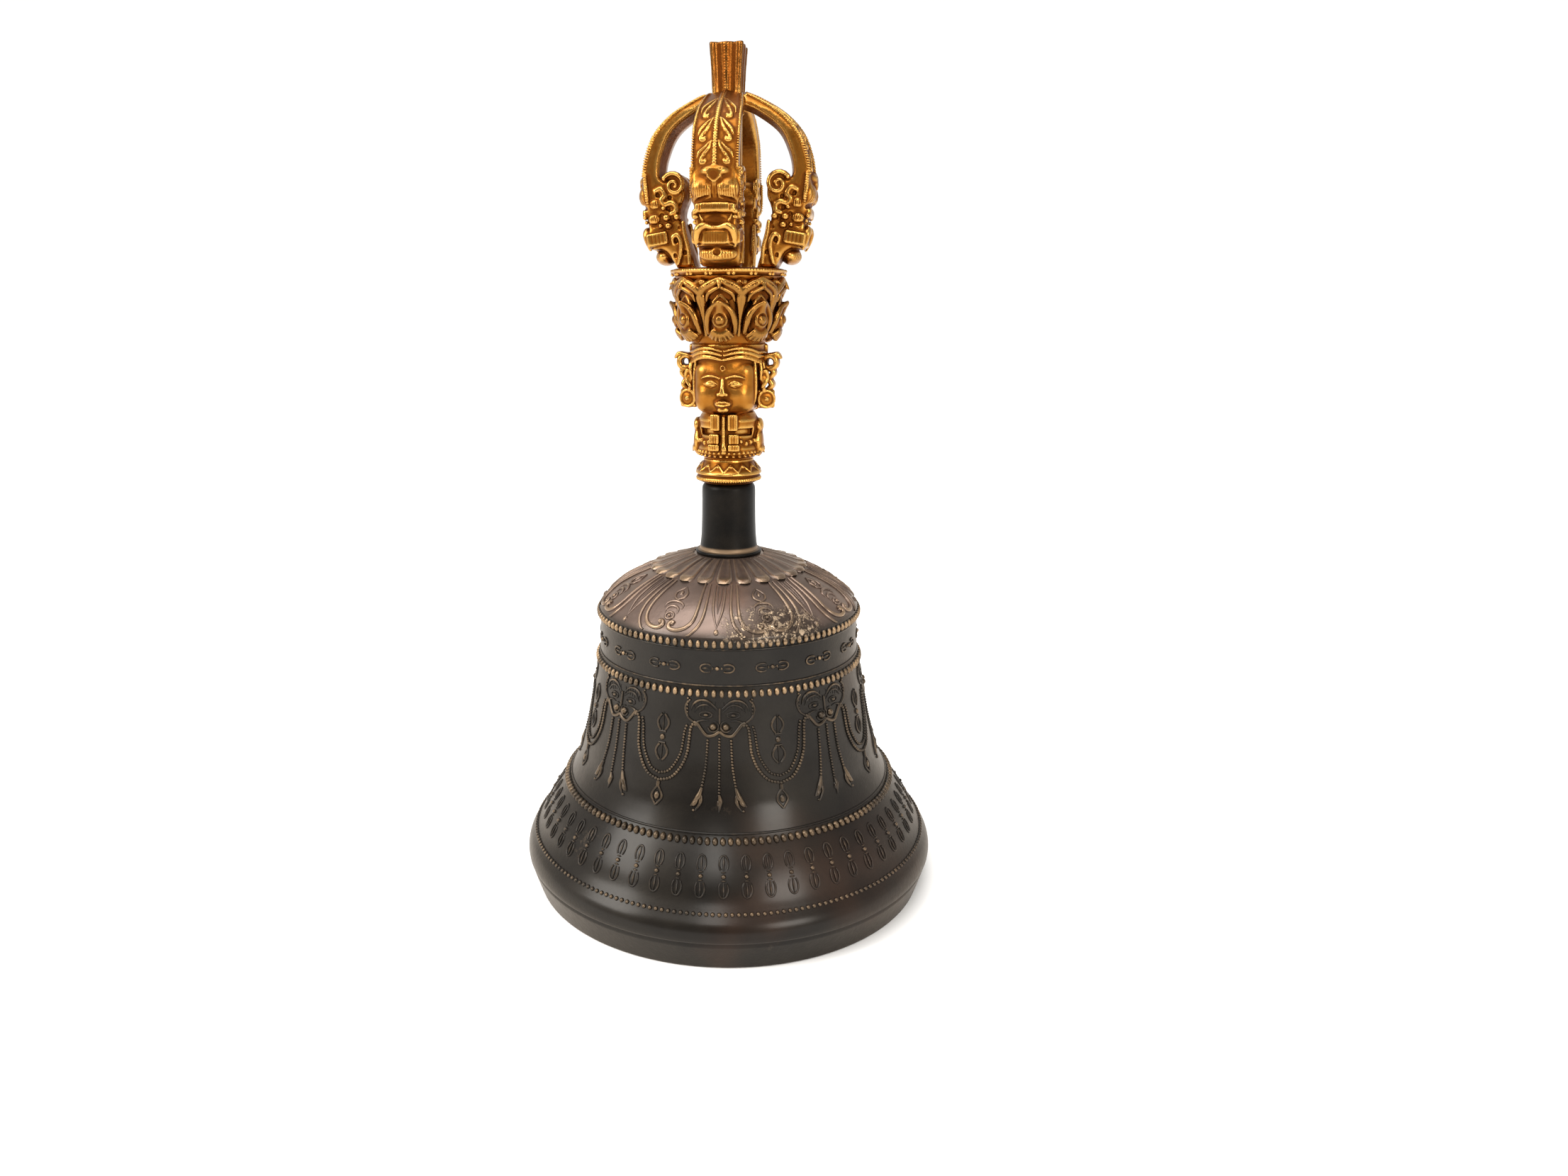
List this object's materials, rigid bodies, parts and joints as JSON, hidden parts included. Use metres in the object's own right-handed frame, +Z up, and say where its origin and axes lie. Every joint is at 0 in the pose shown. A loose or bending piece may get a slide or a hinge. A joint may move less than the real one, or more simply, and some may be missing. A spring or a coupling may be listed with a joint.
{
  "type": "tibetan hand bell",
  "caption": "Flared bronze hand bell with raised ornament, a gilt handle with a face, lotus and half vajra, and a clapper swinging from a swivel eye.",
  "frame": {"origin": "centre of the ring that the bell stands on, at the foot of the lip", "axes": "+Z up along the bell's axis towards the spire; the face on the handle looks towards -Y; +X is the viewer's right"},
  "size_m": [0.095, 0.095, 0.1806],
  "materials": {
    "dark_bronze": "dark brown patina, worn to bright metal on the raised ornament",
    "black_bronze": "near-black patina, satin",
    "gilt_brass": "fire gilt, brown in the recesses",
    "plain_brass": "plain turned",
    "iron": "dark forged"
  },
  "bodies": {
    "bell": {"bell_body": "dark_bronze", "neck_sleeve": "black_bronze", "clamp_tube": "plain_brass", "handle_foot": "gilt_brass", "torso": "gilt_brass", "head": "gilt_brass", "capital": "gilt_brass", "crown_plate": "gilt_brass", "spire": "gilt_brass", "prong_right": "gilt_brass", "prong_back": "gilt_brass", "prong_left": "gilt_brass", "prong_front": "gilt_brass"},
    "hanger": {"clapper_hanger": "iron", "hanger_washer": "iron"},
    "clapper": {"clapper_rod": "iron", "clapper_bulb": "iron"}
  },
  "joints": [
    {"name": "hanger_turn", "type": "hinge", "parent": "bell", "child": "hanger", "pos_m": [0, 0, 0.0668], "axis": [0, 0, 1], "continuous": true},
    {"name": "clapper_swing", "type": "hinge", "parent": "hanger", "child": "clapper", "pos_m": [0, 0, 0.064], "axis": [1, 0, 0], "range_deg": [-33, 33]}
  ]
}
